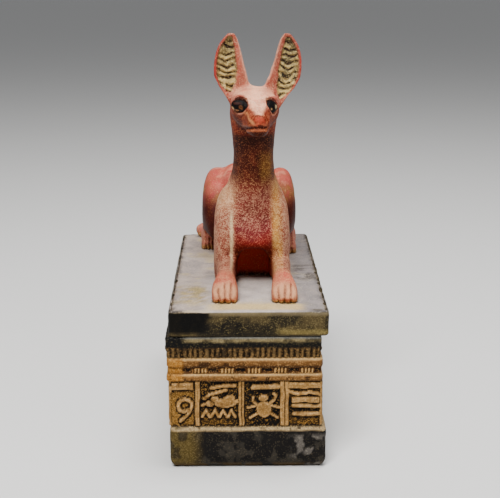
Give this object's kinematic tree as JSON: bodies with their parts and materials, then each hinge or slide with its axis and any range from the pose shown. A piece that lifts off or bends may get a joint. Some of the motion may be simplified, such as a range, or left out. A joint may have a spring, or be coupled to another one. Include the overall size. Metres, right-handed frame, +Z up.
{
  "type": "canopic chest",
  "caption": "Small carved stone canopic chest, hollow, with banded relief walls and a loose slab lid on which a jackal lies with its head and tall ears raised.",
  "frame": {"origin": "centre of the chest's flat underside, on the surface that it stands on", "axes": "+Z up, -Y towards the front, where the jackal looks, +X to the right as seen from the front"},
  "size_m": [0.0742, 0.1556, 0.1957],
  "materials": {
    "chest_stone": "matt carved stone, blackened and rubbed with ochre on the relief",
    "lid_stone": "matt carved stone, jackal painted rose and red-brown, slab grey with worn black edges"
  },
  "bodies": {
    "root": {"chest": "chest_stone", "jackal_lid": "lid_stone"}
  },
  "joints": []
}
